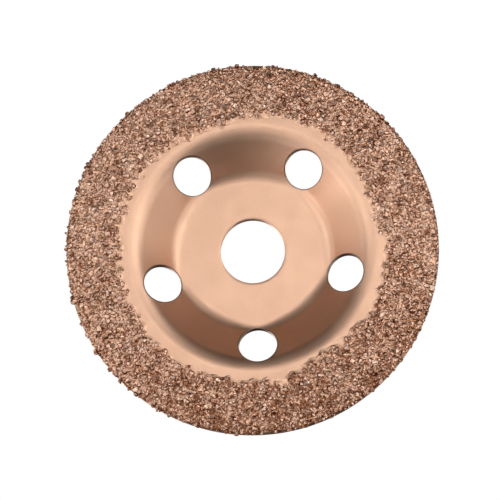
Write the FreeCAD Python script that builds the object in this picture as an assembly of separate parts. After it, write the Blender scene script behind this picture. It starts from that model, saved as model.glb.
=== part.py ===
import FreeCAD, Part
import math
import os
import random

# Carving disc for an angle grinder: a dished, pressed steel disc with a
# central bore, five round holes in its cone wall, and a wide flat rim that
# carries a ring of crushed carbide grit in a thin braze layer.
#
# Frame: the disc stands upright, its axis along Y, like a wheel. The origin
# is the bore's centre on the hub's back face, the face that seats on the
# grinder's flange. The working (grit) face looks towards -Y, +Z is up.
# Sizes are in millimetres. Directions around the disc run from +X towards +Z.

Vector = FreeCAD.Vector

# --- dish ---------------------------------------------------------------------
OUTER_D = 125.0          # plate diameter
OUTER_R = OUTER_D / 2
BORE_D = 22.23           # standard grinder flange pilot, 7/8 inch
PLATE_T = 3.5            # plate thickness, the same everywhere
DEPTH = 12.75            # hub's front face behind the rim's front face
CONE_ANGLE = math.radians(45.0)   # cone wall's slope against the rim plane
HUB_FLAT_R = 23.6        # flat part of the hub's front face
HUB_BEND_R = 6.5         # concave front radius between hub and cone
RIM_BEND_R = 8.5         # convex front radius between cone and rim
EDGE_ROUND = 0.8         # rounding of the plate's outer edges
BORE_CHAMFER = 0.25      # chamfer at the bore's front end; its back end is square

HUB_FRONT_Y = -PLATE_T
RIM_FRONT_Y = -(PLATE_T + DEPTH)
RIM_BACK_Y = RIM_FRONT_Y + PLATE_T

# --- holes in the cone wall ---------------------------------------------------
HOLE_COUNT = 5
HOLE_D = 12.95
HOLE_CIRCLE_R = 32.87    # radius of the circle the holes' centres lie on
HOLE_TILT = math.radians(8.7)     # each hole's axis leans inward towards the front
FIRST_HOLE_DEG = -86.7   # direction of the first hole
HOLE_TOOL_L = 40         # cutter length, centred on the wall

# --- ring of grit -------------------------------------------------------------
# inner edge of the grit ring: (direction in degrees, radius)
GRIT_INNER = [
    (0, 45.4), (15, 42.3), (30, 43.6), (45, 44.9), (60, 45.6), (75, 46.4),
    (90, 45.4), (105, 43.5), (120, 43.6), (135, 45.1), (150, 45.3), (165, 45.1),
    (180, 44.8), (195, 45.3), (210, 44.9), (225, 46.3), (240, 46.5), (255, 45.8),
    (270, 45.6), (285, 45.8), (300, 43.2), (315, 44.2), (330, 45.4), (345, 45.4),
]
# how far the outermost grains may stand past the plate: (direction in degrees, overhang);
# heavy at the left, nearly flush at the right
OVERHANG = [
    (0, 0.35), (28, 0.12), (55, 0.80), (90, 0.70), (116, 1.10), (146, 1.35),
    (175, 1.80), (209, 1.40), (239, 1.10), (265, 0.55), (301, 0.25), (326, 0.40),
]
# ripples that make the inner edge ragged: (waves per turn, phase in radians)
RIPPLES = [(23, 1.3), (41, 0.4), (67, 2.2)]
RIPPLE_H = 0.3

# --- braze layer --------------------------------------------------------------
BRAZE_T = 0.25
BRAZE_OUTER_R = OUTER_R - EDGE_ROUND - 0.05
BRAZE_MIN_R = 41.3       # least inner radius: the film may reach just over the start of the bend
BRAZE_MARGIN = 1.5       # how far the film reaches inside the grit's inner edge
BRAZE_POINTS = 150       # points on the film's wavy inner edge
BRAZE_FRONT_Y = RIM_FRONT_Y - BRAZE_T

# --- carbide grains -----------------------------------------------------------
SEED = 20117
# nominal radius from, to; most grains of that size; throws to place them
GRAIN_SIZES = [
    (0.82, 1.15, 400, 6000),
    (0.60, 0.82, 1100, 18000),
    (0.43, 0.60, 1800, 50000),
]
THROW_R = (40.5, OUTER_R + 1.4)   # radii between which grains are thrown
PACKING = 0.78           # least distance between two grains over the sum of their radii
GRAIN_GAP = 0.03         # half the least gap between two grains
GRAIN_H = (0.75, 1.40)   # grain height above the braze over its nominal radius
MAX_GRAIN_H = 1.5
MAX_SLENDERNESS = 1.35   # most height over the square root of the plan area
GRID_STEP = 2.0          # square size of the grid that finds neighbouring grains
NEIGHBOUR_REACH = 3.6    # grains further apart than this don't bound each other
PLAN_HALF = 3            # half side of the square a grain's plan is clipped from
BLOCK_HALF, BLOCK_H = 1.6, 3      # block a grain is clipped from: half side, height
MIN_PLAN_AREA = 0.30
MIN_WALL_L = 0.22        # shorter sides of the plan get no wall of their own
MIN_TOP = 0.3            # least height of a finished grain
GOOD_EDGE, MIN_EDGE = 0.06, 0.02  # shortest edge: taken at once, taken at the worst
MIN_VOLUME = 0.05
SAME_POINT = 1e-7
ON_PLANE = 1e-6

# --- grouping of the grains ---------------------------------------------------
# equal sectors centred on the holes, counted from the first hole towards +Z through +X
SECTORS = ["bottom", "right", "upper_right", "upper_left", "left"]
SECTOR_DEG = 360.0 / HOLE_COUNT
EDGE_ZONE = 1.5          # width of the outermost band, at the plate's edge
INNER_SPLIT_R = 52.0     # between the inner and the outer grit zone
FRINGE = 1.3             # width of the innermost band, the ring's loose fringe


# --- dish ---------------------------------------------------------------------
def arc(centre, radius, start, end):
    """arc of the section in the XY plane: its edge, first point and last point"""
    points = [Vector(centre[0] + radius * math.cos(a), centre[1] + radius * math.sin(a), 0)
              for a in (start, (start + end) / 2, end)]
    return Part.Arc(*points).toShape(), points[0], points[2]


def make_dish():
    half_tangent = math.tan(CONE_ANGLE / 2)
    hub_corner_r = HUB_FLAT_R + HUB_BEND_R * half_tangent       # cone meets hub, sharp
    rim_corner_r = hub_corner_r + DEPTH / math.tan(CONE_ANGLE)  # cone meets rim, sharp
    rim_flat_r = rim_corner_r + RIM_BEND_R * half_tangent       # rim flat starts here

    hub_centre = (HUB_FLAT_R, HUB_FRONT_Y - HUB_BEND_R)         # in front of the hub
    rim_centre = (rim_flat_r, RIM_FRONT_Y + RIM_BEND_R)         # behind the rim's front
    round_r = OUTER_R - EDGE_ROUND
    quarter = math.pi / 2
    arcs = [
        # front side, from the bore outward
        arc(hub_centre, HUB_BEND_R, quarter, quarter - CONE_ANGLE),
        arc(rim_centre, RIM_BEND_R, -quarter - CONE_ANGLE, -quarter),
        # the plate's outer edge
        arc((round_r, RIM_FRONT_Y + EDGE_ROUND), EDGE_ROUND, -quarter, 0),
        arc((round_r, RIM_BACK_Y - EDGE_ROUND), EDGE_ROUND, 0, quarter),
        # back side, parallel to the front at the plate's thickness
        arc(rim_centre, RIM_BEND_R - PLATE_T, -quarter, -quarter - CONE_ANGLE),
        arc(hub_centre, HUB_BEND_R + PLATE_T, quarter - CONE_ANGLE, quarter),
    ]
    bore_r = BORE_D / 2
    chamfer_end = Vector(bore_r + BORE_CHAMFER, HUB_FRONT_Y, 0)
    edges = []
    last = chamfer_end
    for bend, start, end in arcs:
        edges += [Part.makeLine(last, start), bend]
        last = end
    for point in (Vector(bore_r, 0, 0), Vector(bore_r, HUB_FRONT_Y + BORE_CHAMFER, 0),
                  chamfer_end):
        edges.append(Part.makeLine(last, point))
        last = point
    dish = Part.Face(Part.Wire(edges)).revolve(Vector(0, 0, 0), Vector(0, 1, 0), 360)

    # middle of the cone wall at the holes' circle
    wall_depth = DEPTH - (HOLE_CIRCLE_R - hub_corner_r) * math.tan(CONE_ANGLE)
    wall_y = RIM_FRONT_Y + wall_depth + PLATE_T / 2 / math.cos(CONE_ANGLE)
    for k in range(HOLE_COUNT):
        angle = math.radians(FIRST_HOLE_DEG + k * 360.0 / HOLE_COUNT)
        outward = Vector(math.cos(angle), 0, math.sin(angle))
        axis = Vector(0, -math.cos(HOLE_TILT), 0) - outward * math.sin(HOLE_TILT)
        centre = outward * HOLE_CIRCLE_R + Vector(0, wall_y, 0)
        start = centre - axis * (HOLE_TOOL_L / 2)
        dish = dish.cut(Part.makeCylinder(HOLE_D / 2, HOLE_TOOL_L, start, axis))
    return dish


# --- outline of the grit ring -------------------------------------------------
def by_direction(table, angle):
    """smooth value of a table of (degrees, value) in a direction (radians)"""
    degrees = math.degrees(angle) % 360
    points = table + [(360 + table[0][0], table[0][1])]
    for (from_deg, from_value), (to_deg, to_value) in zip(points, points[1:]):
        if from_deg <= degrees <= to_deg:
            u = (degrees - from_deg) / (to_deg - from_deg)
            u = u * u * (3 - 2 * u)
            return from_value + (to_value - from_value) * u


def inner_edge(angle):
    """radius of the grit ring's ragged inner edge"""
    radius = by_direction(GRIT_INNER, angle)
    for waves, phase in RIPPLES:
        radius += RIPPLE_H * math.sin(waves * angle + phase)
    return radius


def outer_edge(angle):
    """how far out grains may reach"""
    return OUTER_R + by_direction(OVERHANG, angle)


# --- braze layer: a thin film under the grit ----------------------------------
def make_braze():
    points = []
    for k in range(BRAZE_POINTS):
        angle = 2 * math.pi * k / BRAZE_POINTS
        radius = max(inner_edge(angle) - BRAZE_MARGIN, BRAZE_MIN_R)
        points.append(Vector(radius * math.cos(angle), RIM_FRONT_Y, radius * math.sin(angle)))
    inner = Part.BSplineCurve()
    inner.interpolate(points, PeriodicFlag=True)
    hole = Part.Face(Part.Wire(inner.toShape()))
    circle = Part.makeCircle(BRAZE_OUTER_R, Vector(0, RIM_FRONT_Y, 0), Vector(0, 1, 0))
    film = Part.Face(Part.Wire(circle)).cut(hole)
    return film.extrude(Vector(0, -BRAZE_T, 0)).Solids[0]


# --- grain positions ----------------------------------------------------------
def grid_square(x, z):
    return int(math.floor(x / GRID_STEP)), int(math.floor(z / GRID_STEP))


def grains_near(grid, x, z, reach):
    """grains in the grid squares up to reach squares away"""
    column, row = grid_square(x, z)
    for i in range(column - reach, column + reach + 1):
        for j in range(row - reach, row + reach + 1):
            yield from grid.get((i, j), ())


def in_ring(radius, angle, size, rng):
    """whether a thrown grain lands in the grit ring"""
    inner, outer = inner_edge(angle), outer_edge(angle)
    # centres stay over the plate or very nearly so, even where the overhang is large
    if radius > min(outer - 0.5 * size, OUTER_R - 0.3 + 0.15 * (outer - OUTER_R)):
        return False
    # a few may lie inside the ragged edge, but always on the braze
    if radius < max(inner - 0.9, BRAZE_MIN_R + 0.6):
        return False
    # the fringe thins out inward, from all grains kept down to 12 in 100
    return not (radius < inner + FRINGE
                and rng.random() > 0.12 + 0.88 * max(0.0, (radius - inner) / FRINGE))


def place_grains(rng):
    """grains (x, z, nominal radius): coarse ones first, then finer ones in the space left"""
    grid = {}
    grains = []
    for smallest, largest, most, throws in GRAIN_SIZES:
        placed = 0
        for _ in range(throws):
            if placed >= most:
                break
            radius = math.sqrt(rng.uniform(THROW_R[0] ** 2, THROW_R[1] ** 2))
            angle = rng.uniform(0, 2 * math.pi)
            size = rng.uniform(smallest, largest)
            if not in_ring(radius, angle, size, rng):
                continue
            x, z = radius * math.cos(angle), radius * math.sin(angle)
            if all((other_x - x) ** 2 + (other_z - z) ** 2 >= (PACKING * (size + other_size)) ** 2
                   for other_x, other_z, other_size in grains_near(grid, x, z, 1)):
                grid.setdefault(grid_square(x, z), []).append((x, z, size))
                grains.append((x, z, size))
                placed += 1
    return grains, grid


def cell_planes(grain, grid, rng, chipped):
    """upright planes (normal x, normal z, distance) around one grain, centred on it"""
    x, z, size = grain
    planes = []

    def add(angle, distance):
        planes.append((math.cos(angle), math.sin(angle), distance))

    for other_x, other_z, other_size in grains_near(grid, x, z, 2):
        dx, dz = other_x - x, other_z - z
        gap = math.hypot(dx, dz)
        if gap < 1e-9 or gap > NEIGHBOUR_REACH:
            continue
        # a coarser grain takes the larger share of the distance
        share = (gap * gap + size * size - other_size * other_size) / (2 * gap)
        planes.append((dx / gap, dz / gap, share - GRAIN_GAP))

    # the grain's own broken outline
    first = rng.uniform(0, math.pi)
    sides = rng.choice((5, 6, 7))
    for k in range(sides):
        angle = first + 2 * math.pi * k / sides + rng.uniform(-0.3, 0.3)
        add(angle, size * (rng.uniform(0.85, 1.35) if chipped else 1.3))
    if chipped and rng.random() < 0.3:
        # a splinter, broken on two opposite sides
        angle = rng.uniform(0, 2 * math.pi)
        add(angle, size * rng.uniform(0.45, 0.62))
        angle += math.pi + rng.uniform(-0.25, 0.25)
        add(angle, size * rng.uniform(0.45, 0.62))
    elif chipped and rng.random() < 0.5:
        # broken on one side
        angle = rng.uniform(0, 2 * math.pi)
        add(angle, size * rng.uniform(0.42, 0.75))

    # the outermost grains end between 0.2 inside the plate's edge and the full overhang
    angle = math.atan2(z, x)
    outer = OUTER_R - 0.2 + (outer_edge(angle) - OUTER_R + 0.2) * rng.random() ** 0.5
    add(angle, max(outer - math.hypot(x, z), 0.4))
    return planes


# --- clipping -----------------------------------------------------------------
def dot(a, b):
    return sum(p * q for p, q in zip(a, b))


def cross(a, b):
    return (a[1] * b[2] - a[2] * b[1], a[2] * b[0] - a[0] * b[2], a[0] * b[1] - a[1] * b[0])


def unit(vector):
    length = math.sqrt(dot(vector, vector))
    return tuple(q / length for q in vector)


def sides_of(loop):
    return zip(loop, loop[1:] + loop[:1])


def beyond(plane, point):
    """how far a point lies outside an upright plane"""
    return plane[0] * point[0] + plane[1] * point[1] - plane[2]


def clip_loop(loop, outside):
    """the part of a loop where outside(point) <= 0, and the points where it is crossed"""
    kept, crossings = [], []
    for a, b in sides_of(loop):
        out_a, out_b = outside(a), outside(b)
        if out_a <= 0:
            kept.append(a)
        if (out_a < 0 < out_b) or (out_b < 0 < out_a):
            t = out_a / (out_a - out_b)
            point = tuple(p + (q - p) * t for p, q in zip(a, b))
            kept.append(point)
            crossings.append(point)
    return kept, crossings


def clip_solid(faces, normal, limit):
    """clip a convex polyhedron, a list of point loops, by normal . point <= limit"""
    def outside(point):
        return normal[0] * point[0] + normal[1] * point[1] + normal[2] * point[2] - limit

    clipped, crossings = [], []
    for face in faces:
        kept, crossed = clip_loop(face, outside)
        crossings += crossed
        kept = [p for i, p in enumerate(kept) if math.dist(p, kept[i - 1]) > SAME_POINT]
        if len(kept) >= 3:
            clipped.append(kept)

    # close the cut with a face, its corners sorted around their centre
    cap = []
    for point in crossings:
        if all(math.dist(point, other) > SAME_POINT for other in cap):
            cap.append(point)
    if len(cap) >= 3:
        centre = [sum(p[q] for p in cap) / len(cap) for q in range(3)]
        helper = (1, 0, 0) if abs(normal[0]) < 0.8 else (0, 1, 0)
        across = unit(cross(normal, helper))
        along = cross(normal, across)

        def turn(point):
            arm = [p - c for p, c in zip(point, centre)]
            return math.atan2(dot(arm, along), dot(arm, across))

        clipped.append(sorted(cap, key=turn))
    return clipped


def clip_crown(faces, angle, slope, height):
    """cut a facet that falls off in direction angle, at the given height over the centre"""
    normal = unit((slope * math.cos(angle), slope * math.sin(angle), 1))
    return clip_solid(faces, normal, height / math.sqrt(1 + slope * slope))


# --- one grain: a convex polyhedron, clipped from a block ---------------------
def block_faces():
    b = BLOCK_HALF
    corners = [(-b, -b), (b, -b), (b, b), (-b, b)]
    faces = [[(x, z, 0) for x, z in corners],
             [(x, z, BLOCK_H) for x, z in corners[:1] + corners[:0:-1]]]
    for p, q in sides_of(corners):
        faces.append([(*p, 0), (*p, BLOCK_H), (*q, BLOCK_H), (*q, 0)])
    return faces


def shape_grain(walls, size, plan_width, rng):
    """one random grain with leaning walls and a faceted crown"""
    faces = block_faces()
    for x, z, distance in walls:
        lean = rng.uniform(0.03, 0.24)
        faces = clip_solid(faces, unit((x, z, lean)), distance / math.sqrt(1 + lean * lean))
    height = min(size * rng.uniform(*GRAIN_H), plan_width * MAX_SLENDERNESS, MAX_GRAIN_H)
    # the crown: one slightly tilted main facet, then up to two steeper ones leaning other ways
    angle = rng.uniform(0, 2 * math.pi)
    slope = min(abs(rng.gauss(0.0, 0.22)) + 0.02, 0.8)
    faces = clip_crown(faces, angle, slope, height)
    for _ in range(rng.choice((0, 0, 1, 1, 2))):
        angle += rng.uniform(1.7, 2.9)
        slope = rng.uniform(0.35, 1.10)
        faces = clip_crown(faces, angle, slope, height * rng.uniform(1.0, 1.25))
    return faces


def grain_faces(planes, size, rng):
    """faces of one grain, points as (x, z, height above the braze); None if it fails"""
    plan = [(-PLAN_HALF, -PLAN_HALF), (PLAN_HALF, -PLAN_HALF),
            (PLAN_HALF, PLAN_HALF), (-PLAN_HALF, PLAN_HALF)]
    for plane in planes:
        plan, _ = clip_loop(plan, lambda point: beyond(plane, point))
        if len(plan) < 3:
            return None

    # walls: only the planes that really bound the plan
    walls = []
    for plane in planes:
        span = [p for p in plan if abs(beyond(plane, p)) < ON_PLANE]
        if len(span) >= 2 and math.dist(span[0], span[1]) > MIN_WALL_L:
            walls.append(plane)
    area = abs(sum(a[0] * b[1] - b[0] * a[1] for a, b in sides_of(plan))) / 2
    if area < MIN_PLAN_AREA or len(walls) < 3:
        return None

    best_edge, best = MIN_EDGE, None
    for attempt in range(14):
        faces = shape_grain(walls, size, math.sqrt(area), rng)
        top = max(p[2] for face in faces for p in face)
        # planes left out of the walls still bound the plan
        crosses = any(beyond(plane, p) > 1e-4 for plane in planes for face in faces for p in face)
        if len(faces) >= 6 and top > MIN_TOP and not crosses:
            shortest = min(math.dist(a, b) for face in faces for a, b in sides_of(face))
            if shortest > GOOD_EDGE:
                return faces
            if shortest > best_edge:
                best_edge, best = shortest, faces
        if crosses and attempt == 4:
            # from here on every plane that touches the plan is a wall
            walls = [plane for plane in planes
                     if any(abs(beyond(plane, p)) < ON_PLANE for p in plan)]
    return best


def grain_solid(faces, x, z):
    made = []
    for face in faces:
        points = [Vector(x + p[0], BRAZE_FRONT_Y - p[2], z + p[1]) for p in face]
        made.append(Part.Face(Part.makePolygon(points + [points[0]])))
    shell = Part.Shell(made)
    shell.sewShape()
    solid = Part.Solid(shell)
    if solid.Volume < 0:
        solid.reverse()
    return solid


# --- the whole grit, grouped by band and sector -------------------------------
def zone_name(x, z):
    radius, angle = math.hypot(x, z), math.atan2(z, x)
    if radius > OUTER_R - EDGE_ZONE:
        band = "edge"
    elif radius < inner_edge(angle) + FRINGE:
        band = "fringe"
    elif radius < INNER_SPLIT_R:
        band = "inner"
    else:
        band = "outer"
    turned = (math.degrees(angle) - (FIRST_HOLE_DEG - SECTOR_DEG / 2)) % 360
    return "grit_%s_%s" % (band, SECTORS[int(turned // SECTOR_DEG)])


def make_grit():
    rng = random.Random(SEED)
    grains, grid = place_grains(rng)
    zones = {}
    for grain in grains:
        x, z, size = grain
        # three tries at a chipped grain, then a last one at a whole grain
        for chipped in (True, True, True, False):
            faces = grain_faces(cell_planes(grain, grid, rng, chipped), size, rng)
            if faces:
                break
        else:
            continue
        solid = grain_solid(faces, x, z)
        if solid.isValid() and solid.Volume >= MIN_VOLUME:
            zones.setdefault(zone_name(x, z), []).append(solid)
    return {name: Part.makeCompound(solids) for name, solids in zones.items()}


os.makedirs("parts", exist_ok=True)
nodes = {"backing_dish": make_dish(), "braze_layer": make_braze(), **make_grit()}
for name, shape in sorted(nodes.items()):
    shape.exportStep("parts/%s.step" % name)
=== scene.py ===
"""Grinding disc: a copper-coated pressed dish with abrasive grit brazed to its flat outer rim.

The disc stands upright on the XZ plane with its axis along Y and its working face towards -Y.
The back of the hub lies at y = 0, and the rim stands forward of the hub. A sloping flank with
five holes joins the two. Lengths are millimetres unless noted, scaled by MM on building.
"""
import math

import bmesh
import bpy
import numpy as np
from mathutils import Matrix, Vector, kdtree


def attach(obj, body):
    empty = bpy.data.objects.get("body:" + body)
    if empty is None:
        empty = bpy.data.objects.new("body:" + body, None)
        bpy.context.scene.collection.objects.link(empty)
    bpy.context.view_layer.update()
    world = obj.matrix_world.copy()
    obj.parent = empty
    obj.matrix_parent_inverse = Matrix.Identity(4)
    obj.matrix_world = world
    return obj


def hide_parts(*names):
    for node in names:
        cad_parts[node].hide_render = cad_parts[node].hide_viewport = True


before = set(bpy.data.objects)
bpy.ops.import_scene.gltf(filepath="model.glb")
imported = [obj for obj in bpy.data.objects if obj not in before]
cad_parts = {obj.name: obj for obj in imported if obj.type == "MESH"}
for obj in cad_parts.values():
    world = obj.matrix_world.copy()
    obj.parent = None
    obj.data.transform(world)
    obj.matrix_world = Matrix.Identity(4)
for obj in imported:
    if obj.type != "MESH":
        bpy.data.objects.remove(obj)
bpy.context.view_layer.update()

MM = 0.001

# ---------------------------------------------------------------------------
# driving dimensions
# ---------------------------------------------------------------------------
OUTER_R = 62.5
BORE_R = 11.115
PLATE_T = 3.5
DEPTH = 12.75                          # from the rim's front face back to the hub's
SLOPE = math.radians(45.0)             # of the flank
HUB_R = 23.6                           # flat of the hub
HUB_BEND_R, RIM_BEND_R = 6.5, 8.5      # bend radii on the front face
EDGE_R = 0.8                           # rounding of the outer edge
FLANK_START_R = HUB_R + HUB_BEND_R * math.tan(SLOPE / 2)      # flank line meets the hub plane
FLANK_END_R = FLANK_START_R + DEPTH / math.tan(SLOPE)         # flank line meets the rim plane
RIM_R = FLANK_END_R + RIM_BEND_R * math.tan(SLOPE / 2)
RIM_Y = -(PLATE_T + DEPTH)             # y of the rim's front face

HOLES = 5
HOLE_PITCH = 360 / HOLES               # degrees
HOLE_PHASE = -86.7                     # degrees from +X towards +Z
HOLE_R = 6.475
HOLE_CIRCLE_R = 32.87
HOLE_TILT = math.radians(8.7)          # of the hole's axis, towards the disc's axis

# the hub bend moves outwards beside each hole
LAND_SHIFT = 1.3
LAND_INSET = 6.6                       # from the hole's centre towards the hub
LAND_RADIAL, LAND_ACROSS = 3.2, 6.5    # spread of the shift

BRAZE_T = 0.25

# inner edge of the grit: (direction in degrees from +X towards +Z, radius)
GRIT_INNER = [
    (0, 45.4), (15, 42.3), (30, 43.6), (45, 44.9), (60, 45.6), (75, 46.4),
    (90, 45.4), (105, 43.5), (120, 43.6), (135, 45.1), (150, 45.3), (165, 45.1),
    (180, 44.8), (195, 45.3), (210, 44.9), (225, 46.3), (240, 46.5), (255, 45.8),
    (270, 45.6), (285, 45.8), (300, 43.2), (315, 44.2), (330, 45.4), (345, 45.4)]
# ripples on that edge: (waves per turn, phase)
EDGE_RIPPLES = [(23, 1.3), (41, 0.4), (67, 2.2)]
RIPPLE_HEIGHT = 0.3

# grains on the outer edge that still stand out past it: (direction in degrees, share)
STAND_OUT = [
    (0, 0.08), (40, 0.6), (70, 0.3), (90, 1.0), (112, 0.75), (125, 0.12),
    (150, 0.32), (165, 0.9), (185, 0.75), (200, 0.7), (225, 0.5), (248, 0.45),
    (270, 0.38), (290, 0.38), (310, 0.38), (328, 0.8), (345, 0.15)]


# ---------------------------------------------------------------------------
# shared geometry
# ---------------------------------------------------------------------------
def to_scene(points):
    """(x, z, height above the rim's front plane) to scene axes; height grows towards -Y"""
    return np.stack([points[:, 0], RIM_Y - points[:, 2], points[:, 1]], -1)


def polar(r, angle, height):
    """scene points from radius, direction and height above the rim's front plane"""
    return np.stack([r * np.cos(angle), RIM_Y - height, r * np.sin(angle)], -1)


def smoothstep(t):
    return t * t * (3 - 2 * t)


def hole_angle(k):
    return math.radians(HOLE_PHASE + HOLE_PITCH * k)


def wrapped(angle):
    return np.angle(np.exp(1j * angle))


def profile_radius(r, angle):
    """radius at which the profile is read, less than r where the hub bend moves outwards"""
    out = np.array(r, float)
    for k in range(HOLES):
        radial = r - HOLE_CIRCLE_R
        across = r * wrapped(angle - hole_angle(k))
        out = out - LAND_SHIFT * np.exp(-((radial + LAND_INSET) / LAND_RADIAL) ** 2
                                        - (across / LAND_ACROSS) ** 2)
    return out


def face_height(r, angle, thickness):
    """height of a face of the plate: thickness 0 is the front face, PLATE_T the back"""
    q = profile_radius(r, angle)
    hub_r, rim_r = HUB_BEND_R + thickness, RIM_BEND_R - thickness
    start = HUB_R + hub_r * math.sin(SLOPE)
    end = RIM_R - rim_r * math.sin(SLOPE)
    hub_bend = -DEPTH + HUB_BEND_R - np.sqrt(np.maximum(hub_r ** 2 - (q - HUB_R) ** 2, 0))
    flank = -DEPTH + (q - FLANK_START_R) * math.tan(SLOPE) - thickness / math.cos(SLOPE)
    rim_bend = -RIM_BEND_R + np.sqrt(np.maximum(rim_r ** 2 - (RIM_R - q) ** 2, 0))
    height = np.where(q <= HUB_R, -DEPTH - thickness, -thickness)
    height = np.where((q > HUB_R) & (q < start), hub_bend, height)
    height = np.where((q >= start) & (q <= end), flank, height)
    return np.where((q > end) & (q < RIM_R), rim_bend, height)


def by_direction(table, angle):
    """smooth lookup round the disc in a table of (degrees, value)"""
    degrees = np.degrees(angle) % 360
    stops = np.array([a for a, _ in table] + [360 + table[0][0]], float)
    values = np.array([v for _, v in table] + [table[0][1]], float)
    i = np.clip(np.searchsorted(stops, degrees, side="right") - 1, 0, len(stops) - 2)
    t = smoothstep((degrees - stops[i]) / (stops[i + 1] - stops[i]))
    return values[i] + (values[i + 1] - values[i]) * t


def inner_edge(angle):
    r = by_direction(GRIT_INNER, angle)
    for waves, phase in EDGE_RIPPLES:
        r = r + RIPPLE_HEIGHT * np.sin(waves * angle + phase)
    return r


def turned(points, axis, angle):
    """points turned about an axis through the origin"""
    cos, sin = math.cos(angle), math.sin(angle)
    return points * cos + np.cross(axis, points) * sin + np.outer(points @ axis, axis) * (1 - cos)


def mesh_object(name, points, faces, smooth=True):
    mesh = bpy.data.meshes.new(name)
    mesh.from_pydata((np.asarray(points) * MM).tolist(), [], faces)
    mesh.update()
    mesh.polygons.foreach_set("use_smooth", np.full(len(mesh.polygons), smooth))
    ob = bpy.data.objects.new(name, mesh)
    bpy.context.scene.collection.objects.link(ob)
    return ob


def add_attribute(ob, name, values):
    attribute = ob.data.attributes.new(name, "FLOAT", "POINT")
    attribute.data.foreach_set("value", np.asarray(values).astype(np.float32))


def fit(ob, material, node):
    """gives the object its material and puts it in the place of a CAD node"""
    ob.data.materials.append(material)
    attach(ob, "root")
    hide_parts(node)


# ---------------------------------------------------------------------------
# dish: one closed quad mesh, with rounded edges at the bore, holes and rim
# ---------------------------------------------------------------------------
COLUMNS = 480                          # round the disc
HOLE_COLUMNS = COLUMNS // HOLES
WINDOW_HALF = 21                       # columns from a hole's centre to its window's side
WINDOW_ROWS = 30
WINDOW_RINGS = 12                      # steps from the window's outline to the hole
THETA = np.radians(HOLE_PHASE) + 2 * np.pi * np.arange(COLUMNS) / COLUMNS

# directions round a hole are taken on one nominal window, so they serve both faces
NOMINAL_START, NOMINAL_SPAN, NOMINAL_CENTRE = 24.7, 16.5, 33.0
HOLE_EDGE_FRONT, HOLE_EDGE_BACK = 0.42, 0.22          # edge rounding of the holes

# radii of the rows on each face: inside, across and outside the windows
FRONT_ROWS = (
    [BORE_R + 0.25, 12.4, 14.5, 17, 19.5, 21.5, 22.5, 23.1, 23.6, 24.05],
    list(np.linspace(24.48, 41.06, WINDOW_ROWS + 1)),
    [41.4, 41.75, 42.1, 42.8] + list(np.linspace(44.0, OUTER_R - EDGE_R, 14)))
BACK_ROWS = (
    [BORE_R + 0.1, 13, 16, 19, 21.5, 23.1, 23.7, 24.3],
    list(np.linspace(24.9, 41.3, WINDOW_ROWS + 1)),
    [41.7, 42.1, 43.0] + list(np.linspace(45.0, OUTER_R - EDGE_R, 12)))

# bore wall from the front chamfer to the back: (radius, height)
BORE_STATIONS = [
    (BORE_R + 0.14, -DEPTH - 0.05), (BORE_R + 0.05, -DEPTH - 0.13), (BORE_R, -DEPTH - 0.27),
    (BORE_R, -DEPTH - 1.3), (BORE_R, -DEPTH - 2.4), (BORE_R, -DEPTH - PLATE_T + 0.1),
    (BORE_R + 0.03, -DEPTH - PLATE_T + 0.03)]


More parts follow.
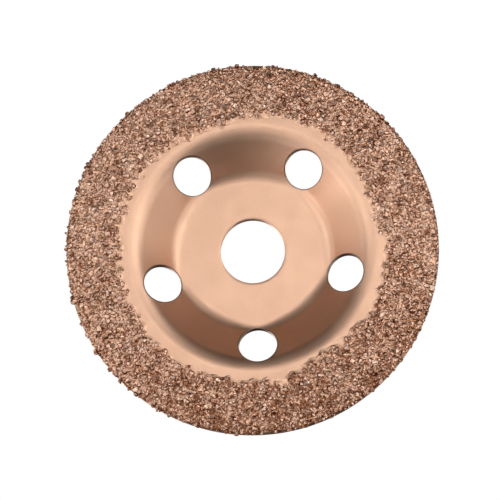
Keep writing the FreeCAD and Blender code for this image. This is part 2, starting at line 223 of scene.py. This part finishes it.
class DishMesh:
    """collects rings of points and the quads between them"""

    def __init__(self):
        self.points, self.lips, self.faces = [], [], []
        self.count = 0

    def add(self, points, lip=0.0):
        """hole shade: 1 on the cut edges and walls of the holes, where a dark colour is painted in
        as their shade
        """
        self.points.append(points)
        self.lips.append(np.full(len(points), lip))
        start = self.count
        self.count += len(points)
        return np.arange(start, self.count)

    def bridge(self, a, b, skip=()):
        for j in range(len(a)):
            if j in skip:
                continue
            k = (j + 1) % len(a)
            self.faces.append((int(a[j]), int(a[k]), int(b[k]), int(b[j])))

    def lathe(self, first, stations, last):
        """rings at (radius, height) stations between two existing rings"""
        for r, height in stations:
            ring = self.add(polar(np.full(COLUMNS, r), THETA, np.full(COLUMNS, height)))
            self.bridge(first, ring)
            first = ring
        self.bridge(first, last)

    def face(self, row_groups, thickness):
        """one face of the plate: a polar grid with a window round each hole"""
        start = len(row_groups[0])
        rows = row_groups[0] + row_groups[1] + row_groups[2]
        grid = []
        for row in rows:
            r = np.full(COLUMNS, row)
            grid.append(self.add(polar(r, THETA, face_height(r, THETA, thickness))))
        window = {(HOLE_COLUMNS * k + j) % COLUMNS
                  for k in range(HOLES) for j in range(-WINDOW_HALF, WINDOW_HALF)}
        for i in range(len(rows) - 1):
            inside = start <= i < start + WINDOW_ROWS
            self.bridge(grid[i], grid[i + 1], window if inside else ())
        loops = [self.window(k, grid, rows, start, thickness) for k in range(HOLES)]
        return grid, loops

    def window(self, k, grid, rows, start, thickness):
        """rings from a window's outline to its hole; gives the last ring and its exact points"""
        end, half = start + WINDOW_ROWS, WINDOW_HALF
        path = [(start, j) for j in range(-half, half)]
        path += [(i, half) for i in range(start, end)]
        path += [(end, j) for j in range(half, -half, -1)]
        path += [(i, -half) for i in range(end, start, -1)]
        centre_angle = hole_angle(k)
        previous = np.array([grid[i][(HOLE_COLUMNS * k + j) % COLUMNS] for i, j in path])
        path_r = np.array([rows[i] for i, _ in path], float)
        path_angle = np.array([centre_angle + 2 * np.pi * j / COLUMNS for _, j in path])
        fraction = np.array([i - start for i, _ in path]) / WINDOW_ROWS
        nominal_r = NOMINAL_START + fraction * NOMINAL_SPAN
        phi = np.arctan2(nominal_r * (path_angle - centre_angle), nominal_r - NOMINAL_CENTRE)

        # the hole's own axes, as (x, z, height)
        radial = np.array([math.cos(centre_angle), math.sin(centre_angle), 0.0])
        tangent = np.array([-math.sin(centre_angle), math.cos(centre_angle), 0.0])
        up = np.array([0.0, 0.0, 1.0])
        axis = math.cos(HOLE_TILT) * up - math.sin(HOLE_TILT) * radial
        outward = math.cos(HOLE_TILT) * radial + math.sin(HOLE_TILT) * up
        mid_height = (-DEPTH + (HOLE_CIRCLE_R - FLANK_START_R) * math.tan(SLOPE)
                      - PLATE_T / 2 / math.cos(SLOPE))
        centre = HOLE_CIRCLE_R * radial + mid_height * up

        def on_face(radius):
            """where a cylinder round the hole's axis meets the face, by bisection"""
            circle = centre + radius * (np.cos(phi)[:, None] * outward
                                        + np.sin(phi)[:, None] * tangent)
            low, high = np.full(len(phi), -13.0), np.full(len(phi), 13.0)
            for _ in range(44):
                middle = (low + high) / 2
                x, z, height = (circle + middle[:, None] * axis).T
                above = height > face_height(np.hypot(x, z), np.arctan2(z, x), thickness)
                high = np.where(above, middle, high)
                low = np.where(above, low, middle)
            return circle + middle[:, None] * axis

        front = thickness == 0
        rounding = HOLE_EDGE_FRONT if front else HOLE_EDGE_BACK
        brow, corner = on_face(HOLE_R + rounding), on_face(HOLE_R)
        wall = corner + (-rounding if front else rounding) * axis
        brow_r = np.hypot(brow[:, 0], brow[:, 1])
        brow_angle = centre_angle + wrapped(np.arctan2(brow[:, 1], brow[:, 0]) - centre_angle)
        for step in range(1, WINDOW_RINGS):
            w = 1 - (1 - step / WINDOW_RINGS) ** 1.25
            r = path_r + (brow_r - path_r) * w
            angle = path_angle + (brow_angle - path_angle) * w
            ring = self.add(polar(r, angle, face_height(r, angle, thickness)))
            self.bridge(previous, ring)
            previous = ring
        # rounded edge of the hole, painted darker towards the wall as shade
        for t in (0.0, 0.25, 0.5, 0.75, 1.0):
            curve = (1 - t) ** 2 * brow + 2 * t * (1 - t) * corner + t ** 2 * wall
            ring = self.add(to_scene(curve), min(1.0, 0.25 + 2.2 * t))
            self.bridge(previous, ring)
            previous = ring
        return previous, wall

    def hole_wall(self, front_loop, back_loop):
        previous, front = front_loop
        last, back = back_loop
        for t in (0.2, 0.4, 0.6, 0.8):
            # the wall takes the full painted shade colour
            ring = self.add(to_scene(front + (back - front) * t), 1.0)
            self.bridge(previous, ring)
            previous = ring
        self.bridge(previous, last)

    def build(self, name):
        """the mesh object, without the grid points left unused in the windows"""
        points = np.concatenate(self.points)
        faces = np.array(self.faces)
        used = np.unique(faces.ravel())
        remap = np.full(len(points), -1)
        remap[used] = np.arange(len(used))
        ob = mesh_object(name, points[used], remap[faces].tolist())
        # painted shade of the hole edges and walls, read by the dish's material
        add_attribute(ob, "lip", np.concatenate(self.lips)[used])
        bm = bmesh.new()
        bm.from_mesh(ob.data)
        bmesh.ops.recalc_face_normals(bm, faces=bm.faces)
        bm.to_mesh(ob.data)
        bm.free()
        return ob


def outer_edge_stations():
    """(radius, height) round the outer edge, front to back"""
    quarter = np.linspace(0, math.pi / 2, 7)
    centre_r = OUTER_R - EDGE_R
    front = [(centre_r + EDGE_R * math.sin(a), -EDGE_R + EDGE_R * math.cos(a))
             for a in quarter[1:]]
    back = [(centre_r + EDGE_R * math.cos(a), -PLATE_T + EDGE_R - EDGE_R * math.sin(a))
            for a in quarter[:-1]]
    return front + [(OUTER_R, -PLATE_T / 2)] + back


def make_dish():
    dish = DishMesh()
    front, front_loops = dish.face(FRONT_ROWS, 0.0)
    back, back_loops = dish.face(BACK_ROWS, PLATE_T)
    for front_loop, back_loop in zip(front_loops, back_loops):
        dish.hole_wall(front_loop, back_loop)
    dish.lathe(front[0], BORE_STATIONS, back[0])
    dish.lathe(front[-1], outer_edge_stations(), back[-1])
    return dish.build("dish")


# ---------------------------------------------------------------------------
# grit: each CAD grain with worn edges, and broken chips between the grains.
# A piece is (points, faces, rise), where rise grows from 0 at the root to 1
# ---------------------------------------------------------------------------
ROOT_BAND = 0.02                       # points this close to a grain's base are its root
ROOT_SINK = 0.12                       # how far the root goes down into the braze
ROOT_DRAW = 0.93                       # scale of the root's outline
FACET_AREA = 0.22                      # larger faces are broken into facets
ROUGHEN = 0.010                        # random shift of each point
FLUSH_R = OUTER_R - 0.22               # worn grains end near this radius
FOOT_SCALE = 0.92                      # of a grain's mean foot radius, when measuring gaps
CHIP_COUNT, CHIP_SHAPES = 2600, 28


def islands(ob):
    """the separate grains of one CAD node: (points, faces as index lists)"""
    bm = bmesh.new()
    bm.from_mesh(ob.data)
    bmesh.ops.remove_doubles(bm, verts=bm.verts, dist=2e-6)
    bmesh.ops.dissolve_limit(bm, angle_limit=math.radians(1.0), verts=bm.verts,
                             edges=bm.edges, use_dissolve_boundaries=False)
    bm.verts.ensure_lookup_table()
    seen = set()
    grains = []
    for first in bm.verts:
        if first.index in seen:
            continue
        stack, members = [first], []
        seen.add(first.index)
        while stack:
            vert = stack.pop()
            members.append(vert)
            for edge in vert.link_edges:
                other = edge.other_vert(vert)
                if other.index not in seen:
                    seen.add(other.index)
                    stack.append(other)
        local = {vert.index: i for i, vert in enumerate(members)}
        faces = {face.index: face for vert in members for face in vert.link_faces}
        points = np.array([vert.co for vert in members]) / MM
        grains.append((points, [[local[v.index] for v in f.verts] for f in faces.values()]))
    bm.free()
    return grains


def bevelled(bm, edges, offset):
    """bevels the edges, then frees the bmesh and gives its points and faces"""
    bmesh.ops.bevel(bm, geom=edges, offset=offset, offset_type="OFFSET", segments=1,
                    profile=0.5, affect="EDGES", clamp_overlap=True)
    bm.verts.index_update()
    points = np.array([v.co for v in bm.verts])
    faces = [[v.index for v in f.verts] for f in bm.faces]
    bm.free()
    return points, faces


def break_facets(bm, rng):
    """large faces, except the base, break up into facets of slightly different tilt"""
    bm.normal_update()
    for face in [f for f in bm.faces if f.normal.y < 0.3 and f.calc_area() > FACET_AREA]:
        normal, size = face.normal.copy(), math.sqrt(face.calc_area())
        corners = [v.co.copy() for v in face.verts]
        weights = rng.dirichlet(np.ones(len(corners)) * 2.5)
        centre = Vector((0, 0, 0))
        for weight, corner in zip(weights, corners):
            centre += corner * float(weight)
        middle = bmesh.ops.poke(bm, faces=[face])["verts"][0]
        middle.co = centre + normal * float(rng.normal(0.0, 0.07)) * size


def refine(cad_points, cad_faces, rng):
    """one grain with worn edges and a root that sinks into the braze"""
    shape = cad_points.copy()
    base = shape[:, 1].max()
    height = base - shape[:, 1].min()
    root = shape[:, 1] > base - ROOT_BAND
    centre = shape.mean(0)
    for axis in (0, 2):
        shape[root, axis] = centre[axis] + (shape[root, axis] - centre[axis]) * ROOT_DRAW
    shape[root, 1] += ROOT_SINK
    bm = bmesh.new()
    verts = [bm.verts.new(point) for point in shape]
    for face in cad_faces:
        # a face that repeats a vertex or an earlier face is left out
        try:
            bm.faces.new([verts[i] for i in face])
        except ValueError:
            pass
    edges = bm.edges[:]
    break_facets(bm, rng)
    points, faces = bevelled(bm, [e for e in edges if e.is_valid], rng.uniform(0.02, 0.06))
    points += rng.normal(0, ROUGHEN, points.shape)
    rise = np.clip((base - points[:, 1]) / max(height, 0.3), 0, 1)
    # the grain narrows towards an off-centre top
    angle = rng.uniform(0, 2 * np.pi)
    shift = rng.uniform(0.0, 0.35)
    apex = np.array([centre[0] + shift * height * math.cos(angle),
                     centre[2] + shift * height * math.sin(angle)])
    narrowing = (1 - rng.uniform(0.0, 0.25) * rise)[:, None]
    points[:, [0, 2]] = apex + (points[:, [0, 2]] - apex) * narrowing
    # each grain leans a little and crowds its neighbours
    pivot = np.array([centre[0], base - 0.3 * height, centre[2]])
    angle = rng.uniform(0, 2 * np.pi)
    lean = min(abs(rng.normal(0, 0.13)), 0.3)
    points = turned(points - pivot, np.array([math.cos(angle), 0, math.sin(angle)]), lean)
    points[:, [0, 2]] *= rng.uniform(1.0, 1.13)
    points[:, 1] *= rng.uniform(0.92, 1.06)
    return points + pivot, faces, rise


def worn_edge(points, faces, rise, rng):
    """most grains on the outer edge are worn nearly flush; a few stand out, dull and dark"""
    r = np.hypot(points[:, 0], points[:, 2])
    if r.max() < FLUSH_R:
        return points, faces, rise
    middle = points.mean(0)
    direction = np.array([math.atan2(middle[2], middle[0])])
    stays = rng.random() < float(by_direction(STAND_OUT, direction)[0])
    kept = rng.uniform(0.8, 1.0) if stays else rng.uniform(0.08, 0.28)
    worn_r = np.where(r > FLUSH_R, FLUSH_R + (r - FLUSH_R) * kept, r)
    points = points.copy()
    points[:, 0] *= worn_r / r
    points[:, 2] *= worn_r / r
    dull = np.clip((r - (OUTER_R - 0.9)) / 0.8, 0, 1) * (0.95 if stays else 0.7)
    return points, faces, rise * (1 - dull)


def foot_tree(feet):
    tree = kdtree.KDTree(len(feet))
    for i, (x, z, _) in enumerate(feet):
        tree.insert((x, z, 0), i)
    tree.balance()
    return tree


def foot_gap(nearest, feet):
    """distance to the closest foot outline among the tree's hits"""
    return min(distance - feet[j][2] * FOOT_SCALE for _, j, distance in nearest)


def chip_shapes(rng):
    """small broken pieces: hulls of random points, about 1 in radius"""
    shapes = []
    for _ in range(CHIP_SHAPES):
        cloud = rng.normal(0, 1, (10, 3))
        cloud *= (rng.uniform(0.7, 1.0, 10) / np.linalg.norm(cloud, axis=1))[:, None]
        cloud *= np.array([1.0, rng.uniform(0.5, 0.8), rng.uniform(0.55, 0.9)])
        bm = bmesh.new()
        for point in cloud:
            bm.verts.new(point)
        bmesh.ops.convex_hull(bm, input=bm.verts[:])
        loose = [v for v in bm.verts if not v.link_faces]
        bmesh.ops.delete(bm, geom=loose, context="VERTS")
        bmesh.ops.dissolve_limit(bm, angle_limit=math.radians(12), verts=bm.verts[:],
                                 edges=bm.edges[:])
        shapes.append(bevelled(bm, bm.edges[:], 0.06))
    return shapes


def make_chips(rng, feet):
    """broken bits caught between the grains: (index of the nearest grain, piece)"""
    shapes = chip_shapes(rng)
    tree = foot_tree(feet)
    chips, tries = [], 0
    while len(chips) < CHIP_COUNT and tries < 12 * CHIP_COUNT:
        tries += 1
        r = math.sqrt(rng.uniform(41.0 ** 2, (OUTER_R - 0.5) ** 2))
        angle = rng.uniform(0, 2 * np.pi)
        # few chips lie near the inner edge
        inside = r - float(inner_edge(np.array([angle]))[0])
        if inside < -0.6 or (inside < 0.6 and rng.random() < 0.75):
            continue
        nearest = tree.find_n((r * math.cos(angle), r * math.sin(angle), 0), 3)
        # none lie deep in a grain, and fewer in the open
        gap = foot_gap(nearest, feet)
        if gap < -0.30 or (gap > 0.30 and rng.random() < 0.5):
            continue
        size = rng.uniform(0.20, 0.44)
        wedged = gap < 0.25 and inside > 0.4
        height = BRAZE_T + (rng.uniform(0.1, 0.8) if wedged else 0.3 * size)
        points, faces = shapes[rng.integers(len(shapes))]
        axis = rng.normal(0, 1, 3)
        axis = axis / np.linalg.norm(axis)
        points = turned(points * size, axis, rng.uniform(0, 2 * np.pi))
        place = polar(np.array([r]), np.array([angle]), np.array([height]))[0]
        rise = np.clip((height - BRAZE_T - points[:, 1]) / 0.8, 0, 1)
        chips.append((nearest[0][1], (points + place, faces, rise)))
    return chips


def merge_pieces(name, pieces, tints):
    """one object of many pieces, each with its own tint"""
    faces, grain = [], []
    for (points, piece_faces, _), tint in zip(pieces, tints):
        start = len(grain)
        faces += [[i + start for i in face] for face in piece_faces]
        grain += [tint] * len(points)
    ob = mesh_object(name, np.concatenate([points for points, _, _ in pieces]), faces, False)
    add_attribute(ob, "grain", grain)
    add_attribute(ob, "rise", np.concatenate([rise for _, _, rise in pieces]))
    return ob


def make_grit(material):
    """builds the grit zone by zone; gives the grains' feet as (x, z, mean radius)"""
    rng = np.random.default_rng(4711)
    edge_rng = np.random.default_rng(29)
    feet, owners, zones = [], [], {}
    for node in sorted(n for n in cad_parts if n.startswith("grit_")):
        pieces, tints = zones.setdefault(node, ([], []))
        for points, faces in islands(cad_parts[node]):
            pieces.append(worn_edge(*refine(points, faces, rng), edge_rng))
            tints.append(rng.random())
            foot = points[points[:, 1] > points[:, 1].max() - ROOT_BAND]
            x, _, z = foot.mean(0)
            feet.append((x, z, float(np.hypot(foot[:, 0] - x, foot[:, 2] - z).mean())))
            owners.append(node)
    for nearest, chip in make_chips(rng, feet):
        pieces, tints = zones[owners[nearest]]
        pieces.append(chip)
        tints.append(rng.random())
    for node, (pieces, tints) in zones.items():
        ob = merge_pieces(node.replace("grit_", "grains_"), pieces, tints)
        fit(ob, material, node)
    return feet


# ---------------------------------------------------------------------------
# braze: thin film under the grit
# ---------------------------------------------------------------------------
FILM_COLUMNS, FILM_ROWS = 1320, 62
FILM_LEAD = 1.5                        # reach inside the grit's inner edge
FILM_FEATHER = 1.6                     # width over which the inner edge thins out
FILM_INSET = 0.42                      # from the plate's outer radius
FILM_THIN = 0.06                       # thickness away from the grains
FILM_RIPPLE = 0.03
FILLET_HEIGHT, FILLET_REACH = 0.10, 0.13              # braze drawn up against each grain


def make_braze(feet):
    angle = 2 * np.pi * np.arange(FILM_COLUMNS) / FILM_COLUMNS
    r_in = (inner_edge(angle) - FILM_LEAD)[None, :]
    r_out = OUTER_R - FILM_INSET
    fraction = np.linspace(0, 1, FILM_ROWS) ** 0.92
    r = r_in + (r_out - r_in) * fraction[:, None]
    angles = np.broadcast_to(angle, r.shape)
    x, z = r * np.cos(angles), r * np.sin(angles)
    tree = foot_tree(feet)
    fillet, near = np.zeros(r.size), np.zeros(r.size)
    for i, (px, pz) in enumerate(zip(x.ravel(), z.ravel())):
        nearest = tree.find_n((px, pz, 0), 3)
        gap = foot_gap(nearest, feet)
        mean_distance = sum(distance for _, _, distance in nearest) / 3
        fillet[i] = math.exp(-max(gap, 0.0) / FILLET_REACH) if gap < 1.2 else 0.0
        near[i] = min(max((2.6 - mean_distance) / 1.6, 0.0), 1.0)
    fillet = fillet.reshape(r.shape)
    near = smoothstep(near.reshape(r.shape))
    feather = smoothstep(np.clip((r - r_in) / FILM_FEATHER, 0, 1))
    ripple = FILM_RIPPLE * np.sin(5.1 * x + 0.7) * np.sin(4.3 * z + 1.9)
    height = (FILM_THIN + (BRAZE_T * 0.85 - FILM_THIN) * near + ripple
              + FILLET_HEIGHT * fillet) * feather - 0.01
    # follow the rounding of the plate's outer edge, and thin out over it
    past = r - (OUTER_R - EDGE_R)
    edge = np.clip(past / (EDGE_R - FILM_INSET + 1e-6), 0, 1)
    drop = EDGE_R - np.sqrt(np.maximum(EDGE_R ** 2 - np.clip(past, 0, None) ** 2, 0))
    height = height * (1 - 0.75 * edge) - drop
    seat = face_height(r, angles, 0.0)
    top = polar(r, angles, seat + height).reshape(-1, 3)
    bottom = polar(r, angles, seat + (-0.04 - drop)).reshape(-1, 3)

    under = r.size                     # index offset from a top point to the one under it
    j = np.arange(FILM_COLUMNS)
    k = (j + 1) % FILM_COLUMNS
    faces = []
    for i in range(FILM_ROWS - 1):
        a, b = i * FILM_COLUMNS + j, i * FILM_COLUMNS + k
        c, d = (i + 1) * FILM_COLUMNS + k, (i + 1) * FILM_COLUMNS + j
        faces.append(np.stack([a, b, c, d], -1))
        faces.append(np.stack([a + under, d + under, c + under, b + under], -1))
    faces.append(np.stack([j, j + under, k + under, k], -1))
    j, k = j + (FILM_ROWS - 1) * FILM_COLUMNS, k + (FILM_ROWS - 1) * FILM_COLUMNS
    faces.append(np.stack([j, k, k + under, j + under], -1))
    ob = mesh_object("braze_film", np.concatenate([top, bottom]), np.concatenate(faces).tolist())
    # painted shade share of the film: most between closely packed grains, none at the feathered
    # inner edge
    add_attribute(ob, "grain_gap_shade", np.tile((near ** 2 * feather).ravel(), 2))
    return ob


# ---------------------------------------------------------------------------
# materials: metals textured in object space, so texture scales are per metre
# ---------------------------------------------------------------------------
COPPER = (0.717, 0.473, 0.348)


class Metal:
    """a metallic principled material and short ways to add nodes to it"""

    def __init__(self, name):
        self.material = bpy.data.materials.new(name)
        self.material.use_nodes = True
        self.tree = self.material.node_tree
        self.tree.nodes.clear()
        output = self.node("OutputMaterial")
        self.shader = self.node("BsdfPrincipled")
        self.link(self.shader.outputs[0], output.inputs[0])
        self.shader.inputs["Metallic"].default_value = 1.0
        self.coord = self.node("TexCoord").outputs["Object"]

    def node(self, kind):
        return self.tree.nodes.new("ShaderNode" + kind)

    def link(self, source, target):
        self.tree.links.new(source, target)

    def noise(self, scale, detail):
        node = self.node("TexNoise")
        node.inputs["Scale"].default_value = scale
        node.inputs["Detail"].default_value = detail
        node.inputs["Roughness"].default_value = 0.55
        self.link(self.coord, node.inputs["Vector"])
        return node.outputs["Fac"]

    def cells(self, scale):
        """a random value for each cell"""
        voronoi = self.node("TexVoronoi")
        voronoi.inputs["Scale"].default_value = scale
        self.link(self.coord, voronoi.inputs["Vector"])
        split = self.node("SeparateColor")
        self.link(voronoi.outputs["Color"], split.inputs[0])
        return split.outputs[0]

    def attribute(self, name):
        node = self.node("Attribute")
        node.attribute_name = name
        return node.outputs["Fac"]

    def remap(self, value, source, target):
        node = self.node("MapRange")
        for i, limit in enumerate((*source, *target), 1):
            node.inputs[i].default_value = limit
        self.link(value, node.inputs[0])
        return node.outputs[0]

    def ramp(self, value, stops):
        """stops: (position, colour)"""
        node = self.node("ValToRGB")
        elements = node.color_ramp.elements
        elements.remove(elements[1])
        elements[0].position = stops[0][0]
        elements[0].color = (*stops[0][1], 1)
        for position, colour in stops[1:]:
            elements.new(position).color = (*colour, 1)
        self.link(value, node.inputs[0])
        return node.outputs[0]

    def maths(self, operation, a, b):
        node = self.node("Math")
        node.operation = operation
        for i, value in enumerate((a, b)):
            if isinstance(value, (int, float)):
                node.inputs[i].default_value = value
            else:
                self.link(value, node.inputs[i])
        return node.outputs[0]

    def add(self, a, b):
        return self.maths("ADD", a, b)

    def times(self, a, b):
        return self.maths("MULTIPLY", a, b)

    def mix(self, factor, a, b):
        node = self.node("Mix")
        node.data_type = "RGBA"
        self.link(factor, node.inputs["Factor"])
        self.link(a, node.inputs[6])
        self.link(b, node.inputs[7])
        return node.outputs[2]

    def patches_and_painted_light(self, dark, bright):
        """light and dark patches over the grit zone, 1 where light and 0 where dark: random cells
        and noise, plus painted light that brightens some sides of the disc
        """
        parts = [self.times(self.cells(scale=1450), 0.5), self.times(self.cells(scale=2900), 0.26),
                 self.remap(self.noise(scale=270, detail=2), (0.3, 0.7), (0.0, 0.24))]
        # painted light: brighter towards -X and the top, and at the two sides, where the light
        # falls more strongly
        position = self.node("SeparateXYZ")
        self.link(self.coord, position.inputs[0])
        x, z = (self.times(position.outputs[i], 1 / 0.055) for i in (0, 2))
        parts.append(self.times(x, -0.025))
        parts.append(self.times(z, 0.075))
        sides = self.maths("SUBTRACT", self.times(x, x), self.times(z, z))
        parts.append(self.times(sides, 0.034))
        total = parts[0]
        for part in parts[1:]:
            total = self.add(total, part)
        return self.remap(total, (dark, bright), (0.0, 1.0))

    def surface(self, colour, roughness, tint=None):
        self.link(colour, self.shader.inputs["Base Color"])
        self.link(roughness, self.shader.inputs["Roughness"])
        if tint:
            self.shader.inputs["Specular Tint"].default_value = (*tint, 1)

    def bump(self, strength, distance, height):
        """distance in metres"""
        node = self.node("Bump")
        node.inputs["Strength"].default_value = strength
        node.inputs["Distance"].default_value = distance
        self.link(height, node.inputs["Height"])
        self.link(node.outputs[0], self.shader.inputs["Normal"])


def shaded(colour, factors):
    return tuple(c * k for c, k in zip(colour, factors))


def copper_coat():
    m = Metal("copper_coat")
    mottle = m.add(m.times(m.noise(scale=55, detail=3), 0.65),
                   m.times(m.noise(scale=900, detail=3), 0.35))
    clean = m.ramp(mottle, [(0.34, shaded(COPPER, (0.97, 0.955, 0.94))), (0.5, COPPER),
                            (0.66, shaded(COPPER, (1.02, 1.03, 1.04)))])
    # painted shade: a dark colour on the hole edges and walls, laid on by the hole-shade
    # attribute, stands in for the shade inside the holes
    worn = m.ramp(m.noise(scale=600, detail=3),
                  [(0.3, (0.17, 0.115, 0.09)), (0.7, (0.27, 0.18, 0.135))])
    m.surface(colour=m.mix(m.attribute("lip"), clean, worn),
              roughness=m.remap(m.noise(scale=140, detail=4), (0.3, 0.7), (0.40, 0.46)))
    m.bump(strength=0.12, distance=0.00006, height=m.noise(scale=2200, detail=3))
    return m.material


def braze_metal():
    m = Metal("braze_metal")
    clean = m.ramp(m.noise(scale=420, detail=4),
                   [(0.3, (0.65, 0.42, 0.305)), (0.5, (0.69, 0.455, 0.333)), (0.7, COPPER)])
    # painted shade: a dark colour laid on the film between closely packed grains, where their gaps
    # are in shade
    dull = m.ramp(m.noise(scale=380, detail=4),
                  [(0.3, (0.20, 0.089, 0.049)), (0.7, (0.333, 0.161, 0.095))])
    # the patches add random light and dark patches and painted side light to that shade
    dark = m.maths("SUBTRACT", 1.0, m.patches_and_painted_light(dark=0.38, bright=0.58))
    m.surface(colour=m.mix(m.times(m.attribute("grain_gap_shade"), dark), clean, dull),
              roughness=m.remap(m.noise(scale=700, detail=3), (0.3, 0.7), (0.30, 0.46)),
              tint=(0.95, 0.72, 0.56))
    m.bump(strength=0.5, distance=0.00012, height=m.noise(scale=1500, detail=4))
    return m.material


def grit_coat():
    m = Metal("copper_coated_grit")
    grain = m.attribute("grain")
    tone = m.add(m.times(grain, 0.5), m.times(m.noise(scale=1400, detail=3), 0.25))
    tone = m.add(tone, m.remap(m.noise(scale=260, detail=2), (0.35, 0.65), (0.0, 0.25)))
    clean = m.ramp(tone, [(0.08, (0.59, 0.392, 0.293)), (0.3, (0.74, 0.50, 0.388)),
                          (0.6, (0.82, 0.60, 0.485)), (0.95, (0.88, 0.72, 0.635))])
    # dark brown painted shade: shown low on each grain, in the crevices between the grains, and in
    # the dark patches
    root = m.ramp(m.noise(scale=900, detail=3),
                  [(0.3, (0.19, 0.074, 0.035)), (0.7, (0.34, 0.146, 0.077))])
    # the rise darkens each grain towards its root as painted shade of the crevices; the patches
    # add random dark patches and painted side light
    patch_and_shade_mix = m.times(m.patches_and_painted_light(dark=0.36, bright=0.49),
                        m.remap(m.attribute("rise"), (0.0, 0.6), (0.3, 1.0)))
    roughness = m.add(m.times(grain, -0.14), m.times(m.noise(scale=900, detail=3), 0.2))
    m.surface(colour=m.mix(patch_and_shade_mix, root, clean), roughness=m.add(roughness, 0.42),
              tint=(0.93, 0.66, 0.50))
    m.bump(strength=0.55, distance=0.00010, height=m.noise(scale=3200, detail=4))
    return m.material


# ---------------------------------------------------------------------------
# stage, light, camera
# ---------------------------------------------------------------------------
CENTRE = Vector((0, RIM_Y * MM, 0))
BACKDROP_STRENGTH = 1.02
FLOOR_Z, FLOOR_HALF = -64.2, 9000
PANEL_DISTANCE = 1.0                   # metres from the disc
PANEL_GAIN = 1.2                       # on the watts of every panel
PANEL_COLOUR = (1, 0.933, 0.875)
CAMERA_OFFSET = Vector((10.819, -365.186, -48.444))   # from the centre of the rim's front plane

# soft square panels: (degrees off the -Y axis, degrees round it from +X towards +Z,
# side in metres, watts)
PANELS = [
    # round the front
    (9, 90, 0.34, 0.98), (26, 0, 0.36, 1.16), (26, 180, 0.36, 0.74), (26, 225, 0.36, 0.46),
    (26, 270, 0.36, 0.17), (43, 0, 0.38, 0.68), (43, 36, 0.38, 0.86), (43, 180, 0.38, 0.75),
    (43, 216, 0.38, 0.34), (60, 0, 0.40, 0.60), (60, 210, 0.40, 0.61), (60, 240, 0.40, 0.50),
    (60, 270, 0.40, 0.15), (60, 330, 0.40, 0.58), (78, 0, 0.42, 0.42), (78, 180, 0.42, 0.86),
    (78, 210, 0.42, 1.11), (78, 240, 0.42, 0.18), (78, 330, 0.42, 0.47),
    # a little fill from above, for the lower bends
    (60, 45, 0.40, 0.07), (55, 90, 0.38, 0.02), (55, 125, 0.38, 0.10), (60, 155, 0.40, 0.06),
    # behind the disc, for views of its back
    (150, 40, 0.50, 3.2), (150, 190, 0.50, 2.1), (138, 215, 0.50, 1.8), (138, 330, 0.45, 1.2),
    (165, 110, 0.50, 1.4), (138, 75, 0.55, 1.7), (138, 130, 0.55, 1.4),
]


def white_to_camera(tree, output, other, white_kind):
    """shows plain white to the camera and the other shader to all other rays"""
    light_path = tree.nodes.new("ShaderNodeLightPath")
    mix = tree.nodes.new("ShaderNodeMixShader")
    white = tree.nodes.new(white_kind)
    white.inputs["Color"].default_value = (1, 1, 1, 1)
    white.inputs["Strength"].default_value = BACKDROP_STRENGTH
    tree.links.new(light_path.outputs["Is Camera Ray"], mix.inputs[0])
    tree.links.new(other.outputs[0], mix.inputs[1])
    tree.links.new(white.outputs[0], mix.inputs[2])
    tree.links.new(mix.outputs[0], output.inputs[0])


def make_world():
    world = bpy.data.worlds.new("studio")
    bpy.context.scene.world = world
    world.use_nodes = True
    tree = world.node_tree
    tree.nodes.clear()
    output = tree.nodes.new("ShaderNodeOutputWorld")
    ambient = tree.nodes.new("ShaderNodeBackground")
    ambient.inputs["Color"].default_value = (1.0, 0.99, 0.98, 1)
    ambient.inputs["Strength"].default_value = 0.01
    white_to_camera(tree, output, ambient, "ShaderNodeBackground")


def make_floor():
    corners = [(sx * FLOOR_HALF, sy * FLOOR_HALF, FLOOR_Z)
               for sx, sy in ((-1, -1), (1, -1), (1, 1), (-1, 1))]
    floor = mesh_object("floor", corners, [(0, 1, 2, 3)], False)
    material = bpy.data.materials.new("pale_floor")
    material.use_nodes = True
    tree = material.node_tree
    tree.nodes.clear()
    output = tree.nodes.new("ShaderNodeOutputMaterial")
    diffuse = tree.nodes.new("ShaderNodeBsdfDiffuse")
    diffuse.inputs["Color"].default_value = (0.85, 0.85, 0.84, 1)
    white_to_camera(tree, output, diffuse, "ShaderNodeEmission")
    floor.data.materials.append(material)
    floor.visible_diffuse = False
    floor.visible_glossy = False
    floor.visible_shadow = False


def aim_at_centre(ob):
    ob.rotation_euler = (CENTRE - ob.location).to_track_quat("-Z", "Y").to_euler()


def make_panel(name, off_axis, around, side, watts):
    a, p = math.radians(off_axis), math.radians(around)
    direction = Vector((math.sin(a) * math.cos(p), -math.cos(a), math.sin(a) * math.sin(p)))
    light = bpy.data.lights.new(name, "AREA")
    light.shape = "RECTANGLE"
    light.size = light.size_y = side
    light.energy = watts * PANEL_GAIN
    light.color = PANEL_COLOUR
    ob = bpy.data.objects.new(name, light)
    ob.location = CENTRE + direction * PANEL_DISTANCE
    aim_at_centre(ob)
    ob.visible_camera = False
    bpy.context.scene.collection.objects.link(ob)


def make_camera():
    scene = bpy.context.scene
    camera = bpy.data.cameras.new("camera")
    camera.sensor_width = 36.0
    camera.sensor_fit = "HORIZONTAL"
    camera.lens = 79.272
    camera.shift_x = -0.003376
    camera.shift_y = -0.007548
    camera.clip_start = 0.01
    ob = bpy.data.objects.new("camera", camera)
    ob.location = CENTRE + CAMERA_OFFSET * MM
    aim_at_centre(ob)
    scene.collection.objects.link(ob)
    scene.camera = ob


# ---------------------------------------------------------------------------
# build
# ---------------------------------------------------------------------------
dish_material, braze_material, grit_material = copper_coat(), braze_metal(), grit_coat()
fit(make_dish(), dish_material, "backing_dish")
grain_feet = make_grit(grit_material)
fit(make_braze(grain_feet), braze_material, "braze_layer")

view = bpy.context.scene.view_settings
view.view_transform = "Standard"
view.look = "None"
view.exposure = 0.0
view.gamma = 1.0
make_world()
make_floor()
for i, panel in enumerate(PANELS):
    make_panel("panel_%02d" % i, *panel)
make_camera()
